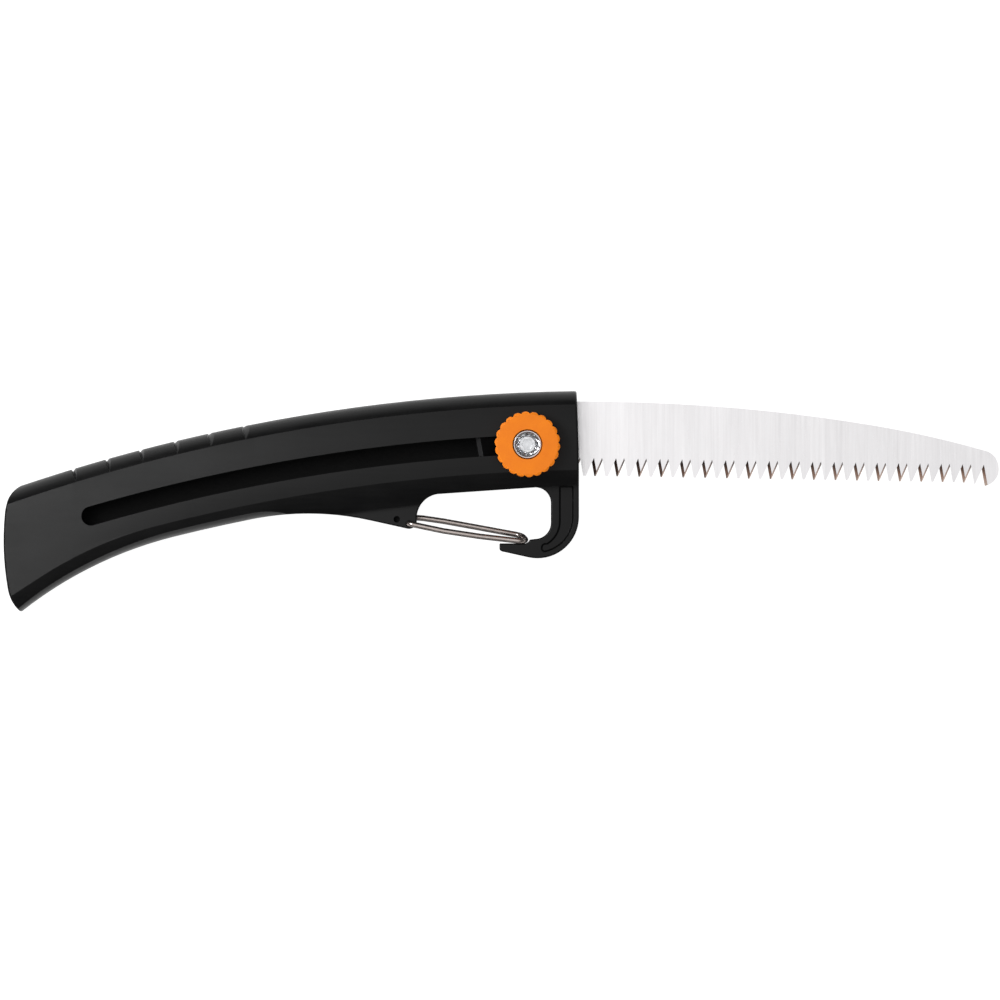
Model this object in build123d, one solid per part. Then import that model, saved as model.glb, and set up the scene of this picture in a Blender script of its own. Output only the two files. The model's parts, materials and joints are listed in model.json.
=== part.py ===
from build123d import *
import os
from math import asin, atan2, cos, degrees, radians, sin, sqrt, tan

# Pruning saw whose curved blade slides out of its handle.  The saw lies on its side: X runs towards
# the blade's tip, Y towards the spine, Z towards the clamp knob, and the cover's flat face is at Z = 0.
# The drawing's origin is moved to the middle of the overall box when the pieces are written.
BOX_MIDDLE_X = 0.325
BOX_MIDDLE_Y = -0.257

# Handle body: two moulded halves that meet at mid thickness
THICKNESS = 22.0
PARTING = THICKNESS / 2
WALL = 2.4
BACK_CENTRE = (37.76, -653.07)
BACK_RADIUS = 695.26
BACK_END_X = -183.09
BACK_TURN_START = 83.0
BACK_TURN = 30.0
BUTT_ARCS = [(10.4, 54.0), (22.1, 11.9), (106.9, 15.8), (14.8, 36.2)]
BUTT_OVERLAP = 0.1
CORNER_TURN = 81.74
CORNER_ROUND = 0.85
UNDERSIDE_ARCS = [(154.7, -24.15), (664.4, -2.68), (109.8, -12.9)]
FRONT_X = 30.2
FRONT_BASE_Y = 7.0
FRONT_RADIUS = 660.0
FRONT_HEIGHT = 43.0
OVERRUN = 9.0
PAST = 1.0
TOP_BAND = 5.2
TOP_RISE = 9.0
CUTTER_REACH = 7.0
EDGE_ROUND = 0.8

# Lower edge of the flat face: it runs with the slide, then flares down towards the butt.  Below it
# lies a shallow bevel, whose outer part is rounded off along the grip.
CREASE_R = 694.5
FLARE_X = -132.0
FLARE_R = 150.4
FLARE_TURN = 18.7
FLARE_RUN = 32.0
BEVEL_WIDTH = 9.6
BEVEL_TILTS = (20.0, 32.0)
BEVEL_REACH = 19.0
LOWER_BAND = 3.6
LOWER_RISE = 8.0
ROUNDING_RUN_OUT = (45.0, -45.0)

# Finger grooves across the back of the grip
GROOVE_X = [-164.8, -151.8, -138.9, -125.5, -112.4, -99.0]
GROOVE_DEPTHS = [0.95, 0.85, 0.8, 0.65, 0.5, 0.4]
GROOVE_STEEP = 0.35
GROOVE_SHALLOW = 1.2
GROOVE_FACES = 1.5
GROOVE_SWEEP = 130.0

# Slide: everything that moves with the blade turns about one far centre
SLIDE_CENTRE = (39.72, -682.66)
SLIDE_RADIUS = 704.85
KNOB_X = 10.37
SLOT_HALF = 3.7
SLOT_REAR_X = -157.5
BLADE_SPACE = (691.0, 722.0)
BLADE_SPACE_FRONT = -0.9
BLADE_SPACE_REAR = 15.4
BLADE_SIDE_GAP = 0.25
SLIDE_GAP = 0.15

# Carrier and shoe, which hold the blade's tang between them
CARRIER_HALF = 9.0
CARRIER_FRONT_X = 24.0
CARRIER_REAR_X = -8.9
CARRIER_REAR_SLANT = 10.0
CARRIER_CHAMFER = 1.7
CARRIER_SPACE_REAR = 18.0
CARRIER_SPACE_LEAD = 0.05
CUT_BLOCK = 40.0
BOSS_HALF_LENGTH = 6.5
BOSS_GAP = 0.1
BOSS_TOP = 21.8

# Blade
BLADE_THICK = 1.2
BLADE_LOW = PARTING - BLADE_THICK / 2
BLADE_HIGH = PARTING + BLADE_THICK / 2
SPINE_START = (32.34, 38.09)
SPINE_ARCS = [(676.0, -9.48), (386.0, -6.60), (6.35, -53.3), (9.47, -18.7), (6.35, -87.5)]
BLADE_ROOT_X = 26.5
TANG_HALF = 7.8
TANG_REAR_X = -5.0
TOOTH_LINE = (35.0, 9.45, -0.0175)
TOE_X = 178.0
TOOTH_PAIRS = 19
FIRST_TOOTH_X = 36.0
TOOTH_PAIR_PITCH = 8.53
PITCH_LOSS = 0.0106
NOTCH_HEIGHT = 7.05
NOTCH_BELOW = 0.3
NOTCH_OVERLAP = 0.2
TANG_ROUND = 3.0
NOTCH_A = (-3.2, 0.0, 1.27)
NOTCH_B = (0.04, 3.12, 4.31)
NOTCH_SHIFT_A = -1.15
NOTCH_SHIFT_B = 0.65

# Clamp: bolt, nut, washer, knob and the two pins through the tang
BOLT_R = 3.0
BOLT_HOLE_R = 3.06
BOLT_LOW = 4.4
NUT_FLATS = 10.0
NUT_LOW = 2.8
NUT_THICK = 5.0
WASHER_R = 9.0
WASHER_LOW = THICKNESS + 0.03
WASHER_THICK = 0.8
KNOB_LOBES = 22
KNOB_VALLEY_R = 11.85
KNOB_LOBE_R = 12.65
KNOB_FIRST_VALLEY = 3.5
KNOB_THICK = 6.6
KNOB_EDGE = 1.0
KNOB_CORNER = 0.35
KNOB_LOW = WASHER_LOW + WASHER_THICK
KNOB_TOP = KNOB_LOW + KNOB_THICK
RECESS_R = 5.75
RECESS_DEPTH = 4.6
HEAD_R = 5.45
HEAD_SINK = 0.5
HEAD_BEVEL = 0.25
HEAD_RIM = 0.35
DISH_DEPTH = 1.1
DISC_R = 3.1
DISC_DROP = 0.45
BOLT_LEAD = 0.5
SOCKET_FLATS = 3.8
SOCKET_DEPTH = 2.8
PIN_R = 1.5
PIN_OFFSETS = (-10.2, 9.8)
PIN_SPAN = (4.0, 18.0)

# Snap-hook frame under the front of the handle, half of it moulded with each shell
PLATE_HALF = 3.5
HOOK_START_Y = 12.0
HOOK_BEND_Y = -6.3
HOOK_OUTER_R = 15.95
HOOK_TURN = 102.4
NOSE_X = -0.4
NOSE_UPPER_ROUND = 0.4
NOSE_LOWER_ROUND = 1.3
SHELF_Y = -16.5
SHELF_END_X = 9.6
SHELF_BOW = (10.7, -15.9)
SHELF_STEP = (11.3, -15.1)
GAP_RIGHT_X = 19.4
GAP_LOWER_R = 6.2
GAP_LOWER_Y = -8.6
GAP_UPPER_R = 5.95
GAP_UPPER_Y = -0.9
WEB_LOWER_ARC = (109.8, -11.01)
WEB_END_X = -32.24
WEB_CORNER_R = 3.0
GAP_LEFT_CENTRE = (-22.94, -6.74)
GAP_LEFT_R = 9.3
GAP_TOP_TILT = 3.88
PLATE_OVERLAP = 6.0
HALF_SPACE = (500.0, 200.0, 2 * THICKNESS)
PLATE_ROUND = 0.6
PANEL_DEPTH = 0.8
PANEL_WALL_TILT = 42.0
PANEL_TOP_Y = 5.0
PANEL_OUTER_X = 27.5
PANEL_OUTER_RUN = [(0, 11.3), (13.25, -78.5)]
PANEL_INNER_X = 23.2
PANEL_INNER_RUN = [(0, 13.0), (10.45, -60.5)]

# Sprung wire gate
WIRE_R = 1.1
NEAR_PIVOT = (-35.3, -8.9)
FAR_PIVOT = (-39.9, -7.25)
LEG_HEIGHT = 4.75
PEG_DEPTH = 2.6
PEG_GAP = 0.12
PEG_END_GAP = 0.2
PEG_BEND = 1.5
GATE_BEND = 3.2
LEG_BEND = 30.0
NEAR_LEG = [(-22.0, -11.7), (-8.0, -13.8)]
NEAR_TIP = (10.4, -15.9)
FAR_TIP = (8.2, -13.5)
FAR_LEG = [(-8.0, -10.5), (-22.0, -7.95), (-33.0, -6.35)]
FAR_HOLE_R = 1.25
FAR_HOLE_FLOOR = 12.0
GATE_SWING = 20.0

# Screws, all driven from the cover's side
SHELL_SCREWS = [(-183.6, -8.5), (-179.0, -32.0), (-60.5, -2.0)]
SCREW_R = 1.5
SCREW_TOP = 17.0
SCREW_HEAD_R = 2.6
SCREW_HEAD_THICK = 1.9
SCREW_SINK = 3.4
SCREW_END_GAP = 0.3
HOOK_SCREW = (25.0, -1.0)
HOOK_SCREW_R = 1.1
HOOK_SCREW_TOP = 13.2
HOOK_SCREW_HEAD_R = 2.1
HOOK_SCREW_HEAD_THICK = 1.3
HEAD_GAP = 0.1
CROSS_DEPTH = 0.55
CROSS_LENGTH = 1.2
CROSS_WIDTH = 0.3

# Tongue and groove that line up the two shells along the back
TONGUE_RING = (722.85, 723.55)
TONGUE_SPAN = (2.5, 14.0)
TONGUE_HEIGHT = 1.0
TONGUE_GAP = 0.08


def direction(heading):
    return Vector(cos(radians(heading)), sin(radians(heading)))


def arc_chain(start, heading, turns):
    """Edges of tangent arcs, each (radius, turn) with a left turn positive; radius 0 is a straight run."""
    edges = []
    point = Vector(*start)
    for radius, turn in turns:
        along = direction(heading)
        if radius == 0:
            end = point + along * turn
            edges.append(Edge.make_line(point, end))
        else:
            side = 1 if turn > 0 else -1
            centre = point + Vector(-along.Y, along.X) * (radius * side)
            middle = turned(point, centre, turn / 2)
            end = turned(point, centre, turn)
            edges.append(Edge.make_three_point_arc(point, middle, end))
            heading += turn
        point = end
    return edges, point, heading


def turned(point, centre, angle):
    """The point turned about a centre, in the XY plane."""
    return centre + (point - centre).rotate(Axis.Z, angle)


def polyline_face(points):
    return make_face(Polyline(*points, close=True))


def prism(face, low, high):
    """A flat XY face made solid from one height to another."""
    return extrude(Pos(0, 0, low) * face, high - low, dir=(0, 0, 1))


def rod(centre, radius, low, high):
    centre = Vector(centre)
    return Pos(centre.X, centre.Y, (low + high) / 2) * Cylinder(radius, high - low)


def hexagon_rod(centre, flats, low, high):
    return prism(Pos(centre.X, centre.Y) * RegularPolygon(flats / 2, 6, major_radius=False), low, high)


def slide_point(radius, angle):
    """Point on a ring about the slide centre; the angle runs from straight up towards the butt."""
    return Vector(*SLIDE_CENTRE) + direction(90 + angle) * radius


def slide_angle(x, radius=SLIDE_RADIUS):
    """Angle at which a ring of that radius passes a given x."""
    return degrees(asin((SLIDE_CENTRE[0] - x) / radius))


def slide_sector(inner, outer, front, rear, low, high):
    """Piece of a flat ring about the slide centre."""
    middle = (front + rear) / 2
    edges = [
        ThreePointArc(slide_point(outer, front), slide_point(outer, middle), slide_point(outer, rear)),
        Line(slide_point(outer, rear), slide_point(inner, rear)),
        ThreePointArc(slide_point(inner, rear), slide_point(inner, middle), slide_point(inner, front)),
        Line(slide_point(inner, front), slide_point(outer, front)),
    ]
    return prism(make_face(edges), low, high)


def slide_slot(half_width, front, rear, low, high):
    """Arc-sided bar with round ends, centred on the slide radius; angles are those of the end centres."""
    bar = slide_sector(SLIDE_RADIUS - half_width, SLIDE_RADIUS + half_width, front, rear, low, high)
    for angle in (front, rear):
        bar += rod(slide_point(SLIDE_RADIUS, angle), half_width, low, high)
    return bar


KNOB_ANGLE = slide_angle(KNOB_X)
KNOB_CENTRE = slide_point(SLIDE_RADIUS, KNOB_ANGLE)


def edge_section(width, rise, floor):
    """Region outside a rounded upper edge, down to a floor: u is outwards from the outline, v is height."""
    start = THICKNESS - rise
    radius = (width * width + rise * rise) / (2 * width)
    half_turn = atan2(rise, radius - width) / 2
    middle = (-radius + radius * cos(half_turn), start + radius * sin(half_turn))
    wall = [Line((0, start), (0, floor))] if floor < start else []
    return make_face([
        ThreePointArc((-width, THICKNESS), middle, (0, start)),
        *wall,
        Line((0, floor), (CUTTER_REACH, floor)),
        Line((CUTTER_REACH, floor), (CUTTER_REACH, THICKNESS + PAST)),
        Line((CUTTER_REACH, THICKNESS + PAST), (-width, THICKNESS + PAST)),
        Line((-width, THICKNESS + PAST), (-width, THICKNESS)),
    ])


def bevel_section():
    """Region above the domed bevel and outside the wall at its foot; u is outwards from the crease."""
    start, end = BEVEL_TILTS
    radius = BEVEL_WIDTH / (sin(radians(end)) - sin(radians(start)))

    def point(tilt):
        out = radius * (sin(radians(tilt)) - sin(radians(start)))
        drop = radius * (cos(radians(start)) - cos(radians(tilt)))
        return (out, THICKNESS - drop)

    floor = PARTING - PAST
    top = THICKNESS + PAST
    foot = point(end)
    return make_face([
        ThreePointArc(point(start), point((start + end) / 2), foot),
        Line(foot, (BEVEL_WIDTH, floor)),
        Line((BEVEL_WIDTH, floor), (BEVEL_REACH, floor)),
        Line((BEVEL_REACH, floor), (BEVEL_REACH, top)),
        Line((BEVEL_REACH, top), (0, top)),
        Line((0, top), (0, THICKNESS)),
    ])


def swept_cutter(edges, section):
    """A section swept along a path, with its u axis to the right of the path."""
    path = Wire(edges)
    along = (path % 0).normalized()
    outward = Vector(along.Y, -along.X)
    start_plane = Plane(origin=path @ 0, x_dir=outward, z_dir=outward.cross(Vector(0, 0, 1)))
    return sweep(start_plane * section, path=path)


def back_cutter():
    """Everything outside the curved back, turned about the back's centre."""
    face = Plane.XZ * Pos(BACK_RADIUS, 0) * edge_section(TOP_BAND, TOP_RISE, PARTING - PAST)
    return Pos(*BACK_CENTRE) * Rot(0, 0, BACK_TURN_START) * revolve(face, Axis.Z, BACK_TURN)


def back_point(x):
    return Vector(x, BACK_CENTRE[1] + sqrt(BACK_RADIUS ** 2 - (x - BACK_CENTRE[0]) ** 2))


def butt_chain():
    """The butt's end wall, from beyond the back to beyond the lower corner."""
    start = back_point(BACK_END_X)
    outward = (start - Vector(*BACK_CENTRE)).normalized()
    heading = degrees(atan2(outward.Y, outward.X)) + 90
    lead_in = start + outward * BUTT_OVERLAP - direction(heading) * OVERRUN / 2
    return arc_chain(lead_in, heading, [(0, OVERRUN / 2)] + BUTT_ARCS)


def underside_start():
    """Sharp lower corner of the butt, before it is rounded, and the underside's direction there."""
    _, end, heading = butt_chain()
    set_back = CORNER_ROUND * tan(radians(CORNER_TURN / 2))
    return end + direction(heading) * set_back, heading + CORNER_TURN - 360, set_back


def corner_cutter():
    """What the rounding takes off the butt's lower corner."""
    corner, heading, set_back = underside_start()
    into = heading - CORNER_TURN
    arc, arc_end, _ = arc_chain(corner - direction(into) * set_back, into, [(CORNER_ROUND, CORNER_TURN)])
    outer = corner + direction(heading - CORNER_TURN / 2 - 90) * CORNER_ROUND
    face = make_face([*arc, Line(arc_end, outer), Line(outer, arc[0] @ 0)])
    return prism(face, PARTING - PAST, THICKNESS + PAST)


def underside_chain(arcs=UNDERSIDE_ARCS):
    """The underside from before the butt's lower corner to where the web leaves the body, and its end."""
    corner, heading, set_back = underside_start()
    lead_in = corner - direction(heading) * OVERRUN
    return arc_chain(lead_in, heading, [(0, OVERRUN + set_back)] + arcs)


def rounding_chain():
    """Path of the rounding along the grip's lower edge, which leaves the outline before the web."""
    edges, _, _ = underside_chain(UNDERSIDE_ARCS[:-1] + [ROUNDING_RUN_OUT])
    return edges


def web_lower_chain():
    """Lower edge of the web, from the end of the underside to the web's lower front corner."""
    _, crest, heading = underside_chain()
    arc, run_end, heading = arc_chain(crest, heading, [WEB_LOWER_ARC])
    corner = run_end + direction(heading) * ((WEB_END_X - run_end.X) / cos(radians(heading)))
    return arc + [Line(run_end, corner)], corner


def gap_left_edges():
    """Left side of the snap opening: an upright run and the arc up to its straight top."""
    _, corner = web_lower_chain()
    arc_start = Vector(WEB_END_X, GAP_LEFT_CENTRE[1])
    arc = JernArc(arc_start, (0, 1), GAP_LEFT_R, -90)
    return [Line(corner, arc_start), arc], arc @ 1


def crease_chain():
    """Lower edge of the flat face, from beyond the butt to beyond the front."""
    flare_angle = slide_angle(FLARE_X, CREASE_R)
    flare_end = slide_point(CREASE_R, flare_angle)
    centre = flare_end - direction(90 + flare_angle) * FLARE_R
    flare_start = turned(flare_end, centre, FLARE_TURN)
    heading = flare_angle + FLARE_TURN
    start = flare_start - direction(heading) * FLARE_RUN
    front_turn = flare_angle - slide_angle(FRONT_X + OVERRUN, CREASE_R)
    edges, _, _ = arc_chain(start, heading, [(0, FLARE_RUN), (FLARE_R, -FLARE_TURN), (CREASE_R, -front_turn)])
    return edges


def body_outline():
    """Outline of the body with the web: exact below and in front, and run past the back and the butt."""
    front_turn = degrees(FRONT_HEIGHT / FRONT_RADIUS)
    front, front_top, _ = arc_chain((FRONT_X, FRONT_BASE_Y), 90, [(FRONT_RADIUS, front_turn)])
    underside, _, _ = underside_chain()
    web_lower, _ = web_lower_chain()
    gap_left, gap_top = gap_left_edges()
    gap_end = Vector(FRONT_X, gap_top.Y + (FRONT_X - gap_top.X) * tan(radians(GAP_TOP_TILT)))
    start = underside[0] @ 0
    rear_x = start.X - PAST
    return make_face([
        *underside,
        *web_lower,
        *gap_left,
        Line(gap_top, gap_end),
        Line(gap_end, (FRONT_X, FRONT_BASE_Y)),
        *front,
        *Polyline(front_top, (rear_x, front_top.Y), (rear_x, start.Y), start).edges(),
    ])


def groove_ring(x, depth):
    """Ring with a lopsided V edge that cuts one finger groove across the rounded back."""
    reach = TOP_BAND
    axis_u = -(reach ** 2 + PARTING ** 2 - depth ** 2) / (2 * (reach - depth))
    tip = -depth - axis_u
    lip = tip + depth + GROOVE_FACES
    grow = (depth + GROOVE_FACES) / depth
    section = polyline_face([(tip, 0), (lip, GROOVE_STEEP * grow), (lip, -GROOVE_SHALLOW * grow)])
    ring = Rot(0, -GROOVE_SWEEP / 2, 0) * revolve(section, Axis.Y, GROOVE_SWEEP)
    foot = back_point(x)
    outward = (foot - Vector(*BACK_CENTRE)).normalized()
    place = Plane(origin=foot + outward * axis_u + Vector(0, 0, PARTING), x_dir=outward, z_dir=(0, 0, 1))
    return place * ring


def solid_at(shape, point):
    """The one solid of a shape that holds a point."""
    found = next(solid for solid in shape.solids() if solid.is_inside(point))
    found.topo_parent = None
    return found


def handle_half():
    """Outer form of the near half of the handle body, without the hook frame."""
    body = prism(body_outline(), PARTING, THICKNESS)
    butt, butt_end, butt_heading = butt_chain()
    butt_tail, _, _ = arc_chain(butt_end, butt_heading, [(0, OVERRUN)])
    body -= back_cutter()
    body -= swept_cutter(crease_chain(), bevel_section())
    body -= swept_cutter(rounding_chain(), edge_section(LOWER_BAND, LOWER_RISE, THICKNESS - LOWER_RISE))
    body -= swept_cutter(butt + butt_tail, edge_section(EDGE_ROUND, EDGE_ROUND, PARTING - PAST))
    body -= corner_cutter()
    body = solid_at(body, KNOB_CENTRE + Vector(0, 0, PARTING + PAST))
    body = fillet(front_edges(body), EDGE_ROUND)
    grooves = [groove_ring(x, depth) for x, depth in zip(GROOVE_X, GROOVE_DEPTHS)]
    return body - grooves


def front_edges(body):
    """Outer edges of the front wall, without the upright ones near the parting."""
    upright = body.edges().filter_by(Axis.Z)
    near_front = body.edges().filter_by(lambda edge: edge.center().X > FRONT_X - 2 * EDGE_ROUND)
    return [edge for edge in near_front if edge not in upright and edge.center().Z > PARTING + PAST]


def hook_plate():
    """Outline of the hook in front of the snap opening, as a face."""
    down, bend_end, heading = arc_chain(
        (FRONT_X, HOOK_START_Y), 270, [(0, HOOK_START_Y - HOOK_BEND_Y), (HOOK_OUTER_R, -HOOK_TURN)])
    nose_low = Vector(NOSE_X, bend_end.Y + (NOSE_X - bend_end.X) * tan(radians(heading)))
    left = GAP_RIGHT_X - GAP_LOWER_R
    low_arc = JernArc((left, GAP_LOWER_Y - GAP_LOWER_R), (1, 0), GAP_LOWER_R, 90)
    high_arc = JernArc((GAP_RIGHT_X, GAP_UPPER_Y), (0, 1), GAP_UPPER_R, 90)
    return make_face([
        *down,
        Line(bend_end, nose_low),
        Line(nose_low, (NOSE_X, SHELF_Y)),
        Line((NOSE_X, SHELF_Y), (SHELF_END_X, SHELF_Y)),
        ThreePointArc((SHELF_END_X, SHELF_Y), SHELF_BOW, SHELF_STEP),
        Line(SHELF_STEP, low_arc @ 0),
        low_arc,
        Line(low_arc @ 1, high_arc @ 0),
        high_arc,
        Line(high_arc @ 1, ((high_arc @ 1).X, HOOK_START_Y)),
        Line(((high_arc @ 1).X, HOOK_START_Y), (FRONT_X, HOOK_START_Y)),
    ])


def web_plate():
    """Outline of the web behind the snap opening, which anchors the gate, as a face."""
    _, crest, _ = underside_chain()
    lower, _ = web_lower_chain()
    gap_left, gap_top = gap_left_edges()
    inside_front = gap_top + Vector(0, PLATE_OVERLAP / 2)
    inside_rear = crest + Vector(0, PLATE_OVERLAP)
    return make_face([
        *lower,
        *gap_left,
        Line(gap_top, inside_front),
        Line(inside_front, inside_rear),
        Line(inside_rear, crest),
    ])


def frame_plates():
    """Both hook-frame plates at full thickness, with rounded edges."""
    hook = prism(hook_plate(), PARTING - PLATE_HALF, PARTING + PLATE_HALF)
    for place, size in ((0, NOSE_LOWER_ROUND), (-1, NOSE_UPPER_ROUND)):
        nose = hook.edges().filter_by(Axis.Z).sort_by(Axis.X)[:2].sort_by(Axis.Y)[place]
        hook = fillet(nose, size)
    web = prism(web_plate(), PARTING - PLATE_HALF, PARTING + PLATE_HALF)
    web_corner = web.edges().filter_by(Axis.Z).sort_by(Axis.Y)[0]
    web = fillet(web_corner, WEB_CORNER_R)
    plates = []
    for plate in (hook, web):
        rims = plate.faces().sort_by(Axis.Z)[0].edges() + plate.faces().sort_by(Axis.Z)[-1].edges()
        plates.append(fillet(rims, PLATE_ROUND))
    return plates


def hollow(shell, near):
    """Blade space and carrier space cut out of one shell."""
    side = 1 if near else -1
    blade_span = sorted((PARTING, PARTING + side * (BLADE_THICK / 2 + BLADE_SIDE_GAP)))
    carrier_span = sorted((PARTING, PARTING + side * (PARTING - WALL)))
    reach = CARRIER_HALF + SLIDE_GAP
    inner, outer = SLIDE_RADIUS - reach, SLIDE_RADIUS + reach
    front = slide_angle(CARRIER_FRONT_X) - CARRIER_SPACE_LEAD
    shell -= slide_sector(*BLADE_SPACE, BLADE_SPACE_FRONT, BLADE_SPACE_REAR, *blade_span)
    return shell - slide_sector(inner, outer, front, CARRIER_SPACE_REAR, *carrier_span)


def tongue(gap):
    """Low rib along the back of the near shell that enters a groove in the cover."""
    inner, outer = TONGUE_RING
    low = PARTING - TONGUE_HEIGHT - gap
    return slide_sector(inner - gap, outer + gap, TONGUE_SPAN[0] - gap, TONGUE_SPAN[1] + gap, low, PARTING)


def gate_path():
    """Centre line of the wire gate: near peg, near leg, front bend, far leg, far peg."""
    near_z = PARTING + LEG_HEIGHT
    far_z = PARTING - LEG_HEIGHT
    near_peg_end = PARTING + PLATE_HALF - PEG_DEPTH
    far_peg_end = PARTING - PLATE_HALF + PEG_DEPTH
    points = [(*NEAR_PIVOT, near_peg_end), (*NEAR_PIVOT, near_z)]
    points += [(*point, near_z) for point in NEAR_LEG + [NEAR_TIP]]
    points += [(*point, far_z) for point in [FAR_TIP] + FAR_LEG]
    points += [(*FAR_PIVOT, far_z), (*FAR_PIVOT, far_peg_end)]
    bends = [PEG_BEND] + [LEG_BEND] * len(NEAR_LEG) + [GATE_BEND] * 2 + [LEG_BEND] * len(FAR_LEG) + [PEG_BEND]
    return FilletPolyline(*points, radius=bends)


def gate_wire():
    path = gate_path()
    return sweep(Plane(origin=path @ 0, z_dir=path % 0) * Circle(WIRE_R), path=path)


def gate_sockets(shell, near):
    """Sockets in the web for the gate's two pegs.  The far one leaves room for its peg's swing, and a
    plain blind hole stands over it on the near side."""
    near_floor = PARTING + PLATE_HALF - PEG_DEPTH - PEG_END_GAP
    if near:
        shell -= rod(NEAR_PIVOT, WIRE_R + PEG_GAP, near_floor, PARTING + PLATE_HALF + PAST)
        return shell - rod(FAR_PIVOT, FAR_HOLE_R, FAR_HOLE_FLOOR, PARTING + PLATE_HALF + PAST)
    pivot = Vector(*NEAR_PIVOT)
    for angle in (0, GATE_SWING / 3, GATE_SWING * 2 / 3, GATE_SWING):
        place = turned(Vector(*FAR_PIVOT), pivot, angle)
        shell -= rod(place, WIRE_R + 2 * PEG_GAP, PARTING - PLATE_HALF - PAST, PARTING + PAST)
    return shell


def hook_panel():
    """Shallow sunk panel that follows the hook on the knob's side and narrows towards its nose."""
    outer, outer_end, _ = arc_chain((PANEL_OUTER_X, PANEL_TOP_Y), 270, PANEL_OUTER_RUN)
    inner, inner_end, heading = arc_chain((PANEL_INNER_X, PANEL_TOP_Y), 270, PANEL_INNER_RUN)
    nose = (outer_end + inner_end) / 2 + direction(heading) * ((outer_end - inner_end).length / 2)
    face = make_face([
        *outer,
        ThreePointArc(outer_end, nose, inner_end),
        *inner,
        Line((PANEL_INNER_X, PANEL_TOP_Y), (PANEL_OUTER_X, PANEL_TOP_Y)),
    ])
    floor = PARTING + PLATE_HALF - PANEL_DEPTH
    return extrude(Pos(0, 0, floor) * face, PANEL_DEPTH + PAST, dir=(0, 0, 1), taper=-PANEL_WALL_TILT)


def shell_blank():
    """Near half of the body, and both hook-frame plates at full thickness."""
    body = handle_half()
    return body, frame_plates()


def slotted_shell(body, plates):
    """Shell on the knob's side, with the long slot."""
    above = Pos(0, 0, PARTING + THICKNESS) * Box(*HALF_SPACE)
    shell = body
    for plate in plates:
        shell += plate & above
    shell = hollow(shell, near=True)
    shell += tongue(0)
    rear = slide_angle(SLOT_REAR_X)
    front = KNOB_ANGLE - degrees((BOSS_HALF_LENGTH - SLOT_HALF + SLIDE_GAP) / SLIDE_RADIUS)
    shell -= slide_slot(SLOT_HALF, front, rear, THICKNESS - WALL - PAST, THICKNESS + PAST)
    shell = gate_sockets(shell, near=True)
    shell -= hook_panel()
    for place in SHELL_SCREWS:
        shell -= rod(place, SCREW_R, PARTING - PAST, SCREW_TOP + SCREW_END_GAP)
    return shell - rod(HOOK_SCREW, HOOK_SCREW_R, PARTING - PAST, HOOK_SCREW_TOP)


def cover_shell(body, plates):
    """Plain shell on the far side, with the screws' sunk heads."""
    below = Pos(0, 0, PARTING - THICKNESS) * Box(*HALF_SPACE)
    shell = mirror(body, about=Plane.XY.offset(PARTING))
    for plate in plates:
        shell += plate & below
    shell = hollow(shell, near=False)
    shell -= tongue(TONGUE_GAP)
    shell = gate_sockets(shell, near=False)
    for place in SHELL_SCREWS:
        shell -= rod(place, SCREW_R + HEAD_GAP, -PAST, PARTING + PAST)
        shell -= rod(place, SCREW_HEAD_R + HEAD_GAP, -PAST, SCREW_SINK + SCREW_HEAD_THICK)
    hook_face = PARTING - PLATE_HALF
    shell -= rod(HOOK_SCREW, HOOK_SCREW_R + HEAD_GAP, hook_face - PAST, PARTING + PAST)
    head_top = hook_face + HOOK_SCREW_HEAD_THICK
    return shell - rod(HOOK_SCREW, HOOK_SCREW_HEAD_R + HEAD_GAP, hook_face - PAST, head_top)


def cross_screw(place, shank_r, head_r, low, head_thick, top):
    """Pan-head screw pointing up, with a cross recess sized from its head."""
    screw = rod(place, head_r, low, low + head_thick) + rod(place, shank_r, low, top)
    depth = head_thick * CROSS_DEPTH
    length = head_r * CROSS_LENGTH
    width = head_r * CROSS_WIDTH
    for size in ((length, width), (width, length)):
        screw -= Pos(*place, low + depth / 2) * Box(*size, depth)
    return screw


def shell_screws():
    sizes = (SCREW_R, SCREW_HEAD_R, SCREW_SINK, SCREW_HEAD_THICK, SCREW_TOP)
    return [cross_screw(place, *sizes) for place in SHELL_SCREWS]


def hook_screw():
    low = PARTING - PLATE_HALF
    sizes = (HOOK_SCREW_R, HOOK_SCREW_HEAD_R, low, HOOK_SCREW_HEAD_THICK, HOOK_SCREW_TOP)
    return cross_screw(HOOK_SCREW, *sizes)


def tip_line_y(x):
    """Height of the tooth tips."""
    x_start, y_start, slope = TOOTH_LINE
    return y_start + slope * (x - x_start)


def tooth_notch(x, outline, shift):
    """Slanting V between two teeth; it leans across the blade's thickness, which bevels the flanks."""
    left, apex, right = outline
    base = tip_line_y(x)
    foot = base - NOTCH_HEIGHT * NOTCH_BELOW
    face = polyline_face([
        (x + apex, base + NOTCH_HEIGHT),
        (x + left - (apex - left) * NOTCH_BELOW, foot),
        (x + right + (right - apex) * NOTCH_BELOW, foot),
    ])
    through = Vector(shift, 0, -BLADE_THICK)
    start = Pos(through * (-NOTCH_OVERLAP / BLADE_THICK)) * Pos(0, 0, BLADE_HIGH) * face
    length = through.length * (1 + 2 * NOTCH_OVERLAP / BLADE_THICK)
    return extrude(start, length, dir=through.normalized())


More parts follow.
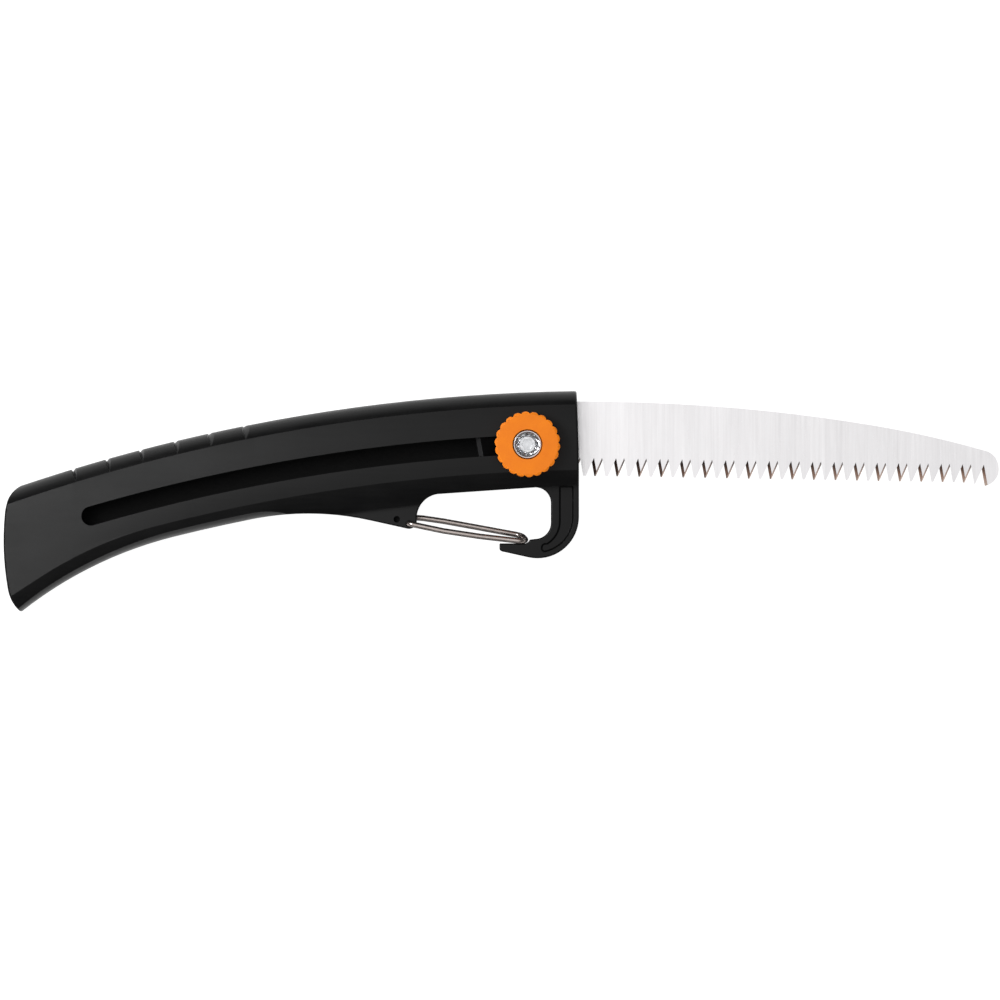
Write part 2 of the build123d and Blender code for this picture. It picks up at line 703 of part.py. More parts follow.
def blade_outline():
    spine, lower_tip, _ = arc_chain(SPINE_START, 0.0, SPINE_ARCS)
    root_top = Vector(BLADE_ROOT_X, SPINE_START[1])
    toe = Vector(TOE_X, tip_line_y(TOE_X))
    root_low = Vector(BLADE_ROOT_X, tip_line_y(BLADE_ROOT_X))
    angle = slide_angle(BLADE_ROOT_X)
    rear = slide_angle(TANG_REAR_X)
    upper = [slide_point(SLIDE_RADIUS + TANG_HALF, a) for a in (angle, (angle + rear) / 2, rear)]
    lower = [slide_point(SLIDE_RADIUS - TANG_HALF, a) for a in (rear, (angle + rear) / 2, angle)]
    return make_face([
        Line(root_top, Vector(*SPINE_START)), *spine,
        Line(lower_tip, toe), Line(toe, root_low),
        Line(root_low, lower[2]), ThreePointArc(*reversed(lower)), Line(lower[0], upper[2]),
        ThreePointArc(*reversed(upper)), Line(upper[0], root_top),
    ])


def saw_blade():
    blade = prism(blade_outline(), BLADE_LOW, BLADE_HIGH)
    blade = fillet(blade.edges().filter_by(Axis.Z).sort_by(Axis.X)[:2], TANG_ROUND)
    notches = []
    for pair in range(-1, TOOTH_PAIRS):
        x = FIRST_TOOTH_X + TOOTH_PAIR_PITCH * pair - PITCH_LOSS * pair * abs(pair)
        if pair >= 0:
            notches.append(tooth_notch(x, NOTCH_A, NOTCH_SHIFT_A))
        if pair < TOOTH_PAIRS - 1:
            notches.append(tooth_notch(x, NOTCH_B, NOTCH_SHIFT_B))
    blade -= notches
    blade -= rod(KNOB_CENTRE, BOLT_HOLE_R, BLADE_LOW - PAST, BLADE_HIGH + PAST)
    for place in pin_places():
        blade -= rod(place, PIN_R, BLADE_LOW - PAST, BLADE_HIGH + PAST)
    return blade


def pin_places():
    """Pin centres, along the slide on both sides of the bolt."""
    return [slide_point(SLIDE_RADIUS, KNOB_ANGLE - degrees(offset / SLIDE_RADIUS)) for offset in PIN_OFFSETS]


def carrier_block(low, high):
    """Arc-sided block with a slanted rear end and holes for the bolt and the pins."""
    front = slide_angle(CARRIER_FRONT_X)
    rear = slide_angle(CARRIER_REAR_X)
    over = degrees(CARRIER_HALF / SLIDE_RADIUS)
    inner, outer = SLIDE_RADIUS - CARRIER_HALF, SLIDE_RADIUS + CARRIER_HALF
    block = slide_sector(inner, outer, front, rear + over, low, high)
    cut = Pos(-CUT_BLOCK / 2, 0) * Rectangle(CUT_BLOCK, CUT_BLOCK)
    cut = Pos(slide_point(SLIDE_RADIUS, rear)) * Rot(0, 0, CARRIER_REAR_SLANT) * cut
    block -= prism(cut, low - PAST, high + PAST)
    block -= rod(KNOB_CENTRE, BOLT_HOLE_R, low - PAST, high + PAST)
    return block


def slide_carrier():
    """Near half of the carriage, with the boss that runs in the slot."""
    top = THICKNESS - WALL - SLIDE_GAP
    block = carrier_block(BLADE_HIGH, top)
    rear_edge = block.faces().sort_by(Axis.Z)[-1].edges().sort_by(Axis.X)[0]
    block = chamfer(rear_edge, CARRIER_CHAMFER)
    half = degrees((BOSS_HALF_LENGTH - SLOT_HALF + BOSS_GAP) / SLIDE_RADIUS)
    boss = slide_slot(SLOT_HALF - BOSS_GAP, KNOB_ANGLE - half, KNOB_ANGLE + half, top - PAST, BOSS_TOP)
    block += boss - rod(KNOB_CENTRE, BOLT_HOLE_R, top - 2 * PAST, BOSS_TOP + PAST)
    for place in pin_places():
        block -= rod(place, PIN_R, BLADE_HIGH - PAST, PIN_SPAN[1])
    return block


def backing_shoe():
    """Far half of the carriage, with the pocket that holds the nut."""
    low = WALL + SLIDE_GAP
    block = carrier_block(low, BLADE_LOW)
    block -= hexagon_rod(KNOB_CENTRE, NUT_FLATS + 2 * HEAD_GAP, low - PAST, NUT_LOW + NUT_THICK)
    for place in pin_places():
        block -= rod(place, PIN_R, PIN_SPAN[0], BLADE_LOW + PAST)
    return block


def tang_pins():
    return [rod(place, PIN_R, *PIN_SPAN) for place in pin_places()]


def clamp_nut():
    nut = hexagon_rod(KNOB_CENTRE, NUT_FLATS, NUT_LOW, NUT_LOW + NUT_THICK)
    return nut - rod(KNOB_CENTRE, BOLT_HOLE_R, NUT_LOW - PAST, NUT_LOW + NUT_THICK + PAST)


def clamp_washer():
    top = WASHER_LOW + WASHER_THICK
    bore = rod(KNOB_CENTRE, BOLT_HOLE_R, WASHER_LOW - PAST, top + PAST)
    return rod(KNOB_CENTRE, WASHER_R, WASHER_LOW, top) - bore


def turned_solid(profile):
    """Solid turned about the clamp's axis from (radius, height) points."""
    face = make_face(Polyline(*[(radius, 0, height) for radius, height in profile], close=True))
    return Pos(KNOB_CENTRE.X, KNOB_CENTRE.Y) * revolve(face, Axis.Z, 360)


def lock_knob():
    """Scalloped knob with a sunk seat for the bolt's head."""
    lobes = []
    for index in range(KNOB_LOBES):
        start, crest, end = [KNOB_FIRST_VALLEY + (index + share) * 360 / KNOB_LOBES for share in (0, 0.5, 1)]
        lobes.append(ThreePointArc(
            direction(start) * KNOB_VALLEY_R, direction(crest) * KNOB_LOBE_R, direction(end) * KNOB_VALLEY_R))
    knob = prism(Pos(KNOB_CENTRE.X, KNOB_CENTRE.Y) * make_face(lobes), KNOB_LOW, KNOB_TOP)
    side = KNOB_LOBE_R + HEAD_GAP
    knob &= turned_solid([
        (0, KNOB_LOW),
        (side, KNOB_LOW),
        (side, KNOB_TOP - KNOB_EDGE),
        (side - KNOB_CORNER, KNOB_TOP - KNOB_CORNER),
        (side - KNOB_EDGE, KNOB_TOP),
        (0, KNOB_TOP),
    ])
    knob -= rod(KNOB_CENTRE, RECESS_R, KNOB_TOP - RECESS_DEPTH, KNOB_TOP + PAST)
    return knob - rod(KNOB_CENTRE, BOLT_HOLE_R, KNOB_LOW - PAST, KNOB_TOP)


def lock_bolt():
    """Clamp bolt: dished head with a thin rim and a raised middle, hexagon socket and plain shank."""
    seat = KNOB_TOP - RECESS_DEPTH
    top = KNOB_TOP - HEAD_SINK
    bolt = turned_solid([
        (0, BOLT_LOW),
        (BOLT_R - BOLT_LEAD, BOLT_LOW),
        (BOLT_R, BOLT_LOW + BOLT_LEAD),
        (BOLT_R, seat),
        (HEAD_R, seat),
        (HEAD_R, top - HEAD_BEVEL),
        (HEAD_R - HEAD_BEVEL, top),
        (HEAD_R - HEAD_BEVEL - HEAD_RIM, top),
        (DISC_R, top - DISH_DEPTH),
        (DISC_R, top - DISC_DROP),
        (0, top - DISC_DROP),
    ])
    return bolt - hexagon_rod(KNOB_CENTRE, SOCKET_FLATS, top - SOCKET_DEPTH, top + PAST)


def write_parts():
    body, plates = shell_blank()
    pieces = {
        "slotted_shell": slotted_shell(body, plates),
        "cover_shell": cover_shell(body, plates),
        "shell_screws": shell_screws(),
        "hook_screw": hook_screw(),
        "gate_wire": gate_wire(),
        "saw_blade": saw_blade(),
        "slide_carrier": slide_carrier(),
        "backing_shoe": backing_shoe(),
        "tang_pins": tang_pins(),
        "clamp_nut": clamp_nut(),
        "clamp_washer": clamp_washer(),
        "lock_knob": lock_knob(),
        "lock_bolt": lock_bolt(),
    }
    os.makedirs("parts", exist_ok=True)
    for name, piece in pieces.items():
        items = piece if isinstance(piece, list) else [piece]
        solids = [solid for item in items for solid in item.solids()]
        export_step(Pos(-BOX_MIDDLE_X, -BOX_MIDDLE_Y) * Compound(children=solids), f"parts/{name}.step")
        print(name, len(solids), round(sum(solid.volume for solid in solids), 1))


if __name__ == "__main__":
    write_parts()
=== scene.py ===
import json
from math import pi, radians

import bpy
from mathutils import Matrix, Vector


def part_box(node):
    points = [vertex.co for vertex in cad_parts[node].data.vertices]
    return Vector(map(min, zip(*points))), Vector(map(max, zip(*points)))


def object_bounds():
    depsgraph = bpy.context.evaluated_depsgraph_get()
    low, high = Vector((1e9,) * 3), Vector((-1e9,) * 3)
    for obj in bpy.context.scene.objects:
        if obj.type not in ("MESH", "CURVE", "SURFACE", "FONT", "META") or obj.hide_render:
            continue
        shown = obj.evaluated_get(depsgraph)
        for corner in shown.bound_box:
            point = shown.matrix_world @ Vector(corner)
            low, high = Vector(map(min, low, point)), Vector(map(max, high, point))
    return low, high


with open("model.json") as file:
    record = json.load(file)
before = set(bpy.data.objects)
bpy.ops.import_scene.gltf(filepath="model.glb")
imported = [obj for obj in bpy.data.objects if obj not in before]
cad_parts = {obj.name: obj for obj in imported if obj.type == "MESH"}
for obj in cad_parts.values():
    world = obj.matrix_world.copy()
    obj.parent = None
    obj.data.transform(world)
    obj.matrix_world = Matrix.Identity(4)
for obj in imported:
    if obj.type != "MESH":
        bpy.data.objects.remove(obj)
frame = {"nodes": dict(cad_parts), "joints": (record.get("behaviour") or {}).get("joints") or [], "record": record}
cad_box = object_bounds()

# All sizes are in metres, in the row frame: X to the blade's tip, Y to the spine, Z out of the knob's side.
MM = 0.001
NODES = frame["nodes"]
JOINTS = {joint["name"]: joint for joint in frame["joints"]}


def middle(name):
    low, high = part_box(name)
    return (low + high) / 2


# The blade's ring: everything on the slide turns about one far upright axis
SLIDE_AXIS = Vector(JOINTS["blade_slide"]["pos_m"][:2])
CLAMP_AXIS = middle("lock_bolt").xy
SLIDE_RADIUS = (CLAMP_AXIS - SLIDE_AXIS).length
FACE_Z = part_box("slotted_shell")[1].z

# The path inside the handle where shade is painted: a little wider than the carriage's space, and down into the
# far wall
PATH_HALF_WIDTH = 9.4 * MM
PATH_LOW_Z = 1.0 * MM
PATH_SHADE_FADE = 1.6 * MM
RIM_CLEAR = 0.1 * MM

# The dome in the face's bump: its radius, its two limits from the slot's middle line, and where it fades in
CROWN_RADIUS = 0.1
CROWN_LOW = -10.4 * MM
CROWN_HIGH = 14.7 * MM
CROWN_FLAT_X = -0.165
CROWN_FULL_X = -0.095

# Blind hole in the web over the gate's far peg, up and back from the gate's own axis, with painted shade inside it
PEG_HOLE = Vector(JOINTS["gate_swing"]["pos_m"][:2]) + Vector((-4.6 * MM, 1.65 * MM))
PEG_HOLE_RADIUS = 1.3 * MM
PEG_HOLE_SHADE_FADE = 1.0 * MM
WEB_TOP = 14.5 * MM

# The dish in the bolt's head, from its inner disc to just inside its rim, and the spacing of tool rings
DISH_INNER = 3.1 * MM
DISH_OUTER = 4.8 * MM
DISH_BLUR = 0.1 * MM
TOOL_RING_PITCH = 0.16 * MM

# Camera, aimed a little off the box's middle to match the picture's framing, and floor
VIEW_WIDTH = 0.385
LENS = 1000.0
SENSOR = 36.0
CLIP_END = 30.0
AIM_OFFSET = Vector((-0.52 * MM, 0.45 * MM))
FLOOR_HALF = 6.0
FLOOR_Z = -0.02 * MM


class Nodes:
    """Small helper that builds one material's node tree."""

    def __init__(self, name):
        self.material = bpy.data.materials.new(name)
        self.material.use_nodes = True
        self.tree = self.material.node_tree
        self.tree.nodes.clear()
        self.output = self.tree.nodes.new("ShaderNodeOutputMaterial")
        self.shader = self.tree.nodes.new("ShaderNodeBsdfPrincipled")
        self.link(self.shader.outputs[0], self.output.inputs[0])
        self.place = self.tree.nodes.new("ShaderNodeTexCoord").outputs["Object"]
        self.geometry = self.tree.nodes.new("ShaderNodeNewGeometry")

    def link(self, source, target):
        self.tree.links.new(source, target)

    def put(self, socket, value):
        if isinstance(value, bpy.types.NodeSocket):
            self.link(value, socket)
        else:
            socket.default_value = value

    def set(self, **values):
        """Values or links on the shader's own sockets."""
        for name, value in values.items():
            self.put(self.shader.inputs[name.replace("_", " ")], value)

    def math(self, kind, first, second=0.0):
        node = self.tree.nodes.new("ShaderNodeMath")
        node.operation = kind
        self.put(node.inputs[0], first)
        self.put(node.inputs[1], second)
        return node.outputs[0]

    def stretched(self, scale, turn=0.0, source=None):
        node = self.tree.nodes.new("ShaderNodeMapping")
        self.put(node.inputs["Vector"], source or self.place)
        node.inputs["Rotation"].default_value = (0, 0, radians(turn))
        node.inputs["Scale"].default_value = scale
        return node.outputs[0]

    def noise(self, scale, detail=3.0, roughness=0.5, source=None):
        """Noise whose features are about 1 / scale metres across."""
        node = self.tree.nodes.new("ShaderNodeTexNoise")
        self.put(node.inputs["Vector"], source or self.place)
        node.inputs["Scale"].default_value = scale
        node.inputs["Detail"].default_value = detail
        node.inputs["Roughness"].default_value = roughness
        return node.outputs[0]

    def span(self, value, low, high, out_low=0.0, out_high=1.0):
        """Value mapped from one range to another, held at both ends."""
        node = self.tree.nodes.new("ShaderNodeMapRange")
        self.put(node.inputs["Value"], value)
        node.inputs["From Min"].default_value = low
        node.inputs["From Max"].default_value = high
        node.inputs["To Min"].default_value = out_low
        node.inputs["To Max"].default_value = out_high
        return node.outputs[0]

    def blend(self, share, first, second):
        node = self.tree.nodes.new("ShaderNodeMix")
        node.data_type = "RGBA"
        self.put(node.inputs[0], share)
        self.put(node.inputs[6], first)
        self.put(node.inputs[7], second)
        return node.outputs[2]

    def ramp(self, value, stops):
        node = self.tree.nodes.new("ShaderNodeValToRGB")
        self.put(node.inputs[0], value)
        elements = node.color_ramp.elements
        while len(elements) < len(stops):
            elements.new(0.5)
        for element, (place, colour) in zip(elements, stops):
            element.position = place
            element.color = (*colour, 1)
        return node.outputs[0]

    def bump(self, height, distance, strength=1.0, under=None):
        """Bump whose full height is the given distance."""
        node = self.tree.nodes.new("ShaderNodeBump")
        node.inputs["Strength"].default_value = strength
        node.inputs["Distance"].default_value = distance
        self.put(node.inputs["Height"], height)
        if under is not None:
            self.link(under, node.inputs["Normal"])
        return node.outputs[0]

    def soft_edges(self, radius):
        node = self.tree.nodes.new("ShaderNodeBevel")
        node.samples = 4
        node.inputs["Radius"].default_value = radius
        return node.outputs[0]

    def painted_shade_hollow(self, reach, low, high):
        """Mask for painted shade from ambient occlusion: 1 deep inside a cavity, 0 in the open."""
        node = self.tree.nodes.new("ShaderNodeAmbientOcclusion")
        node.samples = 8
        node.inputs["Distance"].default_value = reach
        return self.span(node.outputs["AO"], low, high, 1.0, 0.0)

    def parts(self, vector):
        node = self.tree.nodes.new("ShaderNodeSeparateXYZ")
        self.link(vector, node.inputs[0])
        return node.outputs

    def from_axis(self, centre):
        """Distance from an upright axis."""
        node = self.tree.nodes.new("ShaderNodeVectorMath")
        node.operation = "SUBTRACT"
        self.link(self.place, node.inputs[0])
        node.inputs[1].default_value = (centre.x, centre.y, 0)
        x, y, _ = self.parts(node.outputs[0])
        return self.math("SQRT", self.math("ADD", self.math("MULTIPLY", x, x), self.math("MULTIPLY", y, y)))

    def crown(self):
        """Height of a very shallow dome across the face, for a bump; it flattens out towards the butt."""
        off = self.math("SUBTRACT", self.from_axis(SLIDE_AXIS), SLIDE_RADIUS)
        off = self.math("MINIMUM", self.math("MAXIMUM", off, CROWN_LOW), CROWN_HIGH)
        dome = self.math("DIVIDE", self.math("MULTIPLY", off, off), -2 * CROWN_RADIUS)
        return self.math("MULTIPLY", dome, self.span(self.parts(self.place)[0], CROWN_FLAT_X, CROWN_FULL_X))

    def slide_depth(self):
        """Mask for painted shade: 0 at the slot's mouth and outside the slide's path, 1 down inside it."""
        off = self.math("ABSOLUTE", self.math("SUBTRACT", self.from_axis(SLIDE_AXIS), SLIDE_RADIUS))
        height = self.parts(self.place)[2]
        inside = self.math("LESS_THAN", off, PATH_HALF_WIDTH)
        above_low = self.math("GREATER_THAN", height, PATH_LOW_Z)
        sunk = self.span(height, FACE_Z - PATH_SHADE_FADE, FACE_Z - RIM_CLEAR, 1.0, 0.0)
        return self.math("MULTIPLY", self.math("MULTIPLY", inside, above_low), sunk)

    def peg_hole_depth(self):
        """Mask for painted shade: 1 inside the web's blind hole, 0 at its rim and everywhere else."""
        inside = self.math("LESS_THAN", self.from_axis(PEG_HOLE), PEG_HOLE_RADIUS)
        height = self.parts(self.place)[2]
        sunk = self.span(height, WEB_TOP - PEG_HOLE_SHADE_FADE, WEB_TOP - RIM_CLEAR, 1.0, 0.0)
        return self.math("MULTIPLY", inside, sunk)

    def edge_mask(self, radius, low, high):
        """1 where the surface turns within a radius, 0 on flats."""
        node = self.tree.nodes.new("ShaderNodeVectorMath")
        node.operation = "DOT_PRODUCT"
        self.link(self.soft_edges(radius), node.inputs[0])
        self.link(self.geometry.outputs["Normal"], node.inputs[1])
        return self.span(node.outputs["Value"], high, low)


def grey(level):
    return (level, level, level, 1)


def shell_plastic():
    """Black moulded plastic: fine grain, faint scuffs along the grip, polished edges, and painted shade down
    inside the slide's path and the peg hole.
    """
    m = Nodes("shell_plastic")
    grain = m.noise(5200, 2.0, 0.6)
    cloud = m.noise(55, 4.0, 0.55)
    scuff = m.noise(900, 3.0, 0.6, m.stretched((0.05, 1.0, 1.0), 8))
    worn = m.edge_mask(0.35 * MM, 0.90, 0.995)
    tone = m.math("ADD", m.math("MULTIPLY", cloud, 0.4), m.math("MULTIPLY", scuff, 0.35))
    colour = m.ramp(tone, [(0.2, (0.0018, 0.0018, 0.0019)), (0.6, (0.0042, 0.0042, 0.0044))])
    colour = m.blend(m.math("MULTIPLY", worn, 0.3), colour, (0.02, 0.02, 0.021, 1))
    rough = m.math("ADD", m.span(cloud, 0.3, 0.7, 0.34, 0.42), m.span(scuff, 0.35, 0.75, -0.02, 0.05))
    rough = m.math("SUBTRACT", rough, m.math("MULTIPLY", worn, 0.06))
    # Painted shade down inside the slide's path and the peg hole: near-black, dull and metallic, so little light
    # comes back from there
    painted_shade_deep = m.math("MAXIMUM", m.slide_depth(), m.peg_hole_depth())
    colour = m.blend(painted_shade_deep, colour, grey(0.03))
    open_rough = m.math("MULTIPLY", rough, m.math("SUBTRACT", 1.0, painted_shade_deep))
    rough = m.math("ADD", open_rough, m.math("MULTIPLY", painted_shade_deep, 0.9))
    domed = m.bump(m.crown(), 1.0, 1.0, m.soft_edges(0.18 * MM))
    fine = m.bump(grain, 0.006 * MM, 0.5, domed)
    normal = m.bump(m.noise(240, 2.0), 0.02 * MM, 0.35, fine)
    m.set(Base_Color=colour, Roughness=rough, Normal=normal, Metallic=painted_shade_deep)
    m.set(Specular_IOR_Level=0.19)
    return m.material


def carrier_plastic():
    """Dull black plastic with painted shade on its flat faces, near-black and metallic so they stay dark in the
    slot, and a painted highlight on its chamfer, a lighter grey.
    """
    m = Nodes("carrier_plastic")
    grain = m.noise(4200, 2.0, 0.6)
    cloud = m.noise(120, 3.0)
    tilt = m.math("ABSOLUTE", m.parts(m.geometry.outputs["Normal"])[2])
    # Painted shade on the flat faces and a painted highlight on the chamfer: the tilt picks the dark or the light
    # colour, and metal on the flats
    painted_shade_on_flats = m.span(tilt, 0.9, 0.97)
    painted_shade_tone = m.ramp(cloud, [(0.3, (0.0022, 0.0022, 0.0023)), (0.7, (0.0042, 0.0042, 0.0044))])
    light = m.ramp(cloud, [(0.3, (0.020, 0.020, 0.021)), (0.7, (0.030, 0.030, 0.031))])
    rub = m.noise(1500, 3.0, 0.6, m.stretched((0.04, 1.0, 1.0), 4))
    rough = m.span(rub, 0.3, 0.7, 0.55, 0.68)
    normal = m.bump(grain, 0.006 * MM, 0.5, m.soft_edges(0.15 * MM))
    m.set(Base_Color=m.blend(painted_shade_on_flats, light, painted_shade_tone), Roughness=rough, Normal=normal, Metallic=painted_shade_on_flats)
    m.set(Specular_IOR_Level=0.12)
    return m.material


def knob_plastic():
    """Satin orange plastic with soft random changes in tone and lighter worn edges."""
    m = Nodes("knob_plastic")
    grain = m.noise(4600, 2.0, 0.6)
    cloud = m.noise(210, 4.0, 0.55)
    fleck = m.noise(1900, 2.0)
    tone = m.math("ADD", m.math("MULTIPLY", cloud, 0.7), m.math("MULTIPLY", fleck, 0.3))
    colour = m.ramp(tone, [(0.3, (0.88, 0.205, 0.0035)), (0.7, (0.97, 0.250, 0.0065))])
    worn = m.edge_mask(0.4 * MM, 0.90, 0.995)
    colour = m.blend(m.math("MULTIPLY", worn, 0.35), colour, (0.96, 0.32, 0.04, 1))
    rough = m.math("ADD", m.span(cloud, 0.3, 0.7, 0.42, 0.52), m.math("MULTIPLY", fleck, 0.06))
    normal = m.bump(grain, 0.007 * MM, 0.6, m.soft_edges(0.25 * MM))
    m.set(Base_Color=colour, Roughness=rough, Normal=normal)
    m.set(Specular_IOR_Level=0.2)
    return m.material


def blade_steel():
    """Steel ground across its width, with brown bevels between the teeth, lightest at the tips and darker further
    from them.
    """
    m = Nodes("blade_steel")
    across = m.stretched((1.0, 0.02, 1.0), 5)
    fine = m.noise(5200, 2.0, 0.6, across)
    wide = m.noise(900, 4.0, 0.65, across)
    broad = m.noise(150, 3.0, 0.6, m.stretched((1.0, 0.12, 1.0), 5))
    tone = m.math("ADD", m.math("MULTIPLY", wide, 0.5), m.math("MULTIPLY", broad, 0.5))
    colour = m.ramp(tone, [(0.32, (0.78, 0.765, 0.775)), (0.68, (0.92, 0.905, 0.915))])
    face = m.parts(m.geometry.outputs["Normal"])
    tilt = m.math("ABSOLUTE", face[2])
    low = m.span(tilt, 0.15, 0.22)
    high = m.span(tilt, 0.96, 0.985, 1.0, 0.0)
    side = m.span(m.math("ABSOLUTE", face[0]), 0.12, 0.2)
    bevel = m.math("MULTIPLY", m.math("MULTIPLY", low, high), side)
    height = m.parts(m.place)[1]
    tip_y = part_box("saw_blade")[0].y
    depth = m.span(height, tip_y + 0.3 * MM, tip_y + 8.5 * MM)
    tint = m.ramp(m.math("ADD", depth, m.span(wide, 0.3, 0.7, -0.12, 0.12)),
                  [(0.0, (0.60, 0.46, 0.39)), (0.5, (0.38, 0.27, 0.22)), (1.0, (0.10, 0.075, 0.065))])
    colour = m.blend(bevel, colour, tint)
    rough = m.span(fine, 0.25, 0.75, 0.26, 0.42)
    normal = m.bump(fine, 0.004 * MM, 0.5)
    normal = m.bump(wide, 0.006 * MM, 0.3, normal)
    m.set(Base_Color=colour, Roughness=rough, Normal=normal, Metallic=1.0)
    return m.material


def wire_steel():
    """Warm drawn wire, with painted shade, near-black, where other surfaces close it in."""
    m = Nodes("spring_wire")
    drawn = m.noise(5000, 3.0, 0.6, m.stretched((0.03, 1.0, 1.0), 10))
    patch = m.noise(300, 3.0)
    tone = m.math("ADD", m.math("MULTIPLY", drawn, 0.5), m.math("MULTIPLY", patch, 0.5))
    colour = m.ramp(tone, [(0.3, (0.40, 0.345, 0.32)), (0.7, (0.60, 0.535, 0.505))])
    # Painted shade: near-black where ambient occlusion finds other surfaces close by
    colour = m.blend(m.painted_shade_hollow(4 * MM, 0.3, 0.7), colour, grey(0.03))
    rough = m.span(drawn, 0.3, 0.7, 0.20, 0.34)
    m.set(Base_Color=colour, Roughness=rough, Normal=m.bump(drawn, 0.004 * MM, 0.5), Metallic=1.0)
    return m.material


def zinc_steel():
    """Bright zinc with soft patches, on the screws, pins, nut and washer."""
    m = Nodes("zinc_steel")
    patch = m.noise(420, 4.0, 0.6)
    fine = m.noise(6000, 2.0)
    colour = m.ramp(patch, [(0.3, (0.48, 0.49, 0.50)), (0.7, (0.68, 0.69, 0.70))])
    normal = m.bump(fine, 0.004 * MM, 0.5, m.soft_edges(0.12 * MM))
    m.set(Base_Color=colour, Roughness=m.span(patch, 0.3, 0.7, 0.26, 0.4), Normal=normal, Metallic=1.0)
    return m.material


def bolt_steel():
    """Turned bright steel with fine tool rings about the bolt's axis and a hammered look in the dish."""
    m = Nodes("bolt_steel")
    radius = m.from_axis(CLAMP_AXIS)
    rings = m.math("SINE", m.math("MULTIPLY", radius, 2 * pi / TOOL_RING_PITCH))
    patch = m.noise(700, 4.0, 0.6)
    colour = m.ramp(patch, [(0.3, (0.60, 0.61, 0.63)), (0.7, (0.80, 0.81, 0.83))])
    groove = m.math("MULTIPLY", rings, m.span(patch, 0.35, 0.65, 0.3, 1.0))
    normal = m.bump(groove, 0.004 * MM, 0.5, m.soft_edges(0.1 * MM))
    past_disc = m.span(radius, DISH_INNER - DISH_BLUR, DISH_INNER + DISH_BLUR)
    before_rim = m.span(radius, DISH_OUTER + DISH_BLUR, DISH_OUTER - DISH_BLUR)
    in_dish = m.math("MULTIPLY", past_disc, before_rim)
    lumps = m.math("MULTIPLY", m.noise(640, 2.0), in_dish)
    normal = m.bump(lumps, 0.9 * MM, 1.0, normal)
    m.set(Base_Color=colour, Roughness=m.span(patch, 0.3, 0.7, 0.12, 0.24), Normal=normal, Metallic=1.0)
    return m.material


def dress():
    """Give every node the material that its record entry names."""
    looks = {
        "shell_plastic": shell_plastic, "carrier_plastic": carrier_plastic, "knob_plastic": knob_plastic,
        "blade_steel": blade_steel, "spring_wire": wire_steel, "zinc_steel": zinc_steel,
        "bolt_steel": bolt_steel,
    }
    made = {name: make() for name, make in looks.items()}
    for entry in frame["record"]["subparts"]:
        piece = NODES[entry["node"]]
        for holder in piece.material_slots:
            holder.material = made[entry["material_slot"]]


def flat_sheet(name, low, high, height, material):
    """Level rectangle that faces up, for the studio around the saw."""
    mesh = bpy.data.meshes.new(name)
    corners = [(low[0], low[1]), (high[0], low[1]), (high[0], high[1]), (low[0], high[1])]
    mesh.from_pydata([(x, y, height) for x, y in corners], [], [(0, 1, 2, 3)])
    mesh.materials.append(material)
    piece = bpy.data.objects.new(name, mesh)
    bpy.context.scene.collection.objects.link(piece)
    return piece


def floor_material():
    """Near-white floor that glows enough to show no shadow, as in a cut-out picture."""
    m = Nodes("studio_floor")
    soft = m.noise(3, 2.0)
    m.set(Base_Color=m.ramp(soft, [(0.3, (0.30, 0.30, 0.30)), (0.7, (0.32, 0.32, 0.32))]))
    m.set(Roughness=0.9, Specular_IOR_Level=0.0)
    m.set(Emission_Color=(1, 1, 1, 1), Emission_Strength=0.94)
    return m.material


def floor():
    """Large plain floor just under the saw's flat face."""
    low = (-FLOOR_HALF, -FLOOR_HALF)
    high = (FLOOR_HALF, FLOOR_HALF)
    piece = flat_sheet("floor", low, high, FLOOR_Z, floor_material())


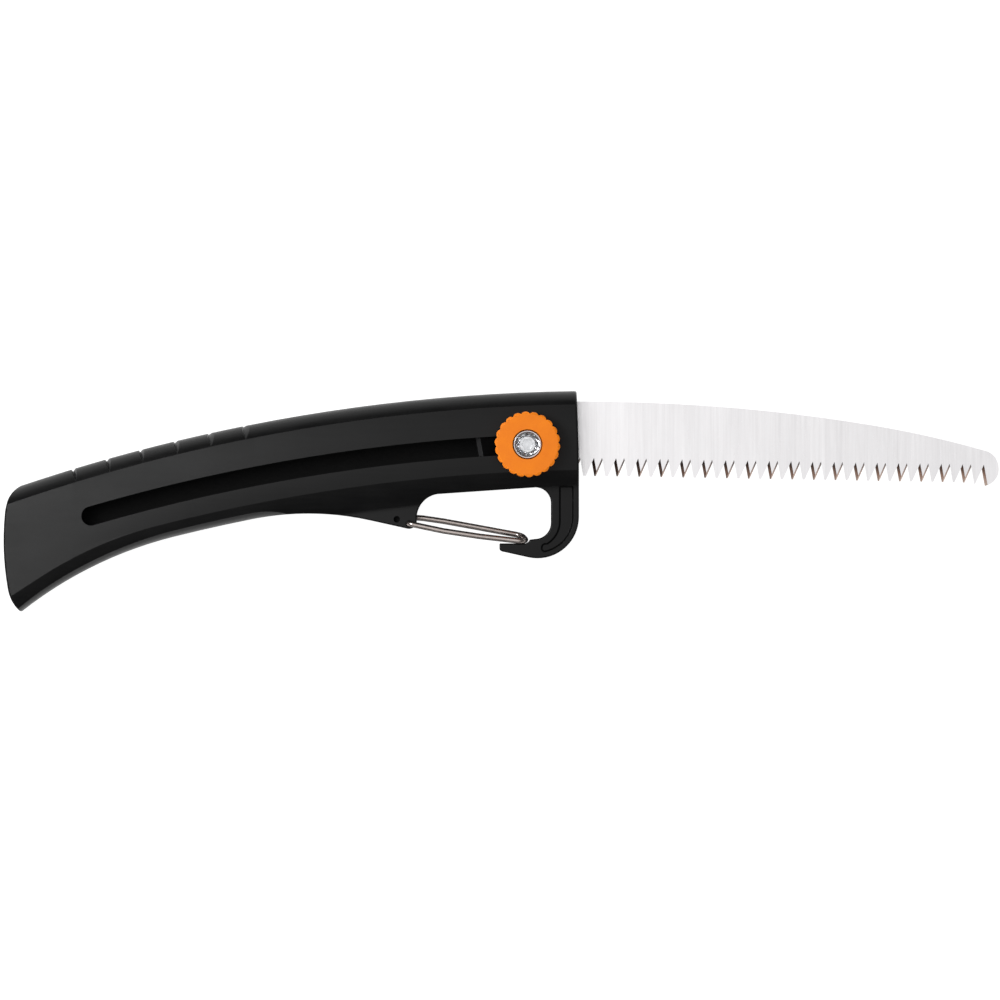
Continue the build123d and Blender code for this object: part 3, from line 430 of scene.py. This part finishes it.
def sky():
    """Plain soft studio light: bright overhead and at the horizon, dim between."""
    world = bpy.data.worlds.new("studio")
    bpy.context.scene.world = world
    world.use_nodes = True
    tree = world.node_tree
    tree.nodes.clear()
    output = tree.nodes.new("ShaderNodeOutputWorld")
    light = tree.nodes.new("ShaderNodeBackground")
    ramp = tree.nodes.new("ShaderNodeValToRGB")
    parts = tree.nodes.new("ShaderNodeSeparateXYZ")
    place = tree.nodes.new("ShaderNodeTexCoord")
    tree.links.new(place.outputs["Generated"], parts.inputs[0])
    tree.links.new(parts.outputs[2], ramp.inputs[0])
    tree.links.new(ramp.outputs[0], light.inputs[0])
    tree.links.new(light.outputs[0], output.inputs[0])
    stops = [(0.0, 0.9), (0.06, 0.75), (0.16, 0.12), (0.5, 0.05), (0.75, 0.19), (0.92, 1.0)]
    elements = ramp.color_ramp.elements
    while len(elements) < len(stops):
        elements.new(0.5)
    for element, (where, level) in zip(elements, stops):
        element.position = where
        element.color = grey(level)
    light.inputs[1].default_value = 1.0


def soft_light(name, place, target, size, power, glossy=True):
    """Rectangular lamp that the camera doesn't see."""
    lamp = bpy.data.lights.new(name, "AREA")
    lamp.shape = "RECTANGLE"
    lamp.size, lamp.size_y = size
    lamp.energy = power
    holder = bpy.data.objects.new(name, lamp)
    bpy.context.scene.collection.objects.link(holder)
    holder.location = place
    holder.rotation_euler = (Vector(target) - Vector(place)).to_track_quat("-Z", "Y").to_euler()
    holder.visible_camera = False
    holder.visible_glossy = glossy


def dark_card(low, high, height):
    """Black card on the floor, which only reflections see, to keep the saw's front underside dark."""
    m = Nodes("dark_card")
    m.set(Base_Color=m.ramp(m.noise(40), [(0.3, (0.01, 0.01, 0.01)), (0.7, (0.02, 0.02, 0.02))]))
    m.set(Roughness=1.0, Specular_IOR_Level=0.0)
    piece = flat_sheet("dark_card", low, high, height, m.material)
    for kind in ("camera", "diffuse", "shadow", "transmission"):
        setattr(piece, "visible_" + kind, False)


def lights():
    """A lamp over the butt brightens the grip towards it, and a broad one fills the colours."""
    dark_card((-0.06, -0.30), (0.06, 0.004), 0.1 * MM)
    soft_light("grip_light", (-0.305, 0.12, 0.46), (-0.24, 0.0, 0.0), (0.2, 0.3), 2.0)
    soft_light("fill_light", (0.0, 0.0, 1.6), (0.0, 0.0, 0.0), (1.6, 1.6), 2.85, glossy=False)


def camera():
    """Square to the saw's side, far away on a long lens."""
    low, high = cad_box
    aim = (Vector(low).xy + Vector(high).xy) / 2 + AIM_OFFSET
    distance = VIEW_WIDTH * LENS / SENSOR
    data = bpy.data.cameras.new("camera")
    data.lens = LENS
    data.sensor_width = SENSOR
    data.clip_end = CLIP_END
    holder = bpy.data.objects.new("camera", data)
    bpy.context.scene.collection.objects.link(holder)
    holder.location = (aim.x, aim.y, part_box("saw_blade")[0].z + distance)
    bpy.context.scene.camera = holder


dress()
floor()
sky()
lights()
camera()
bpy.context.scene.view_settings.view_transform = "Standard"
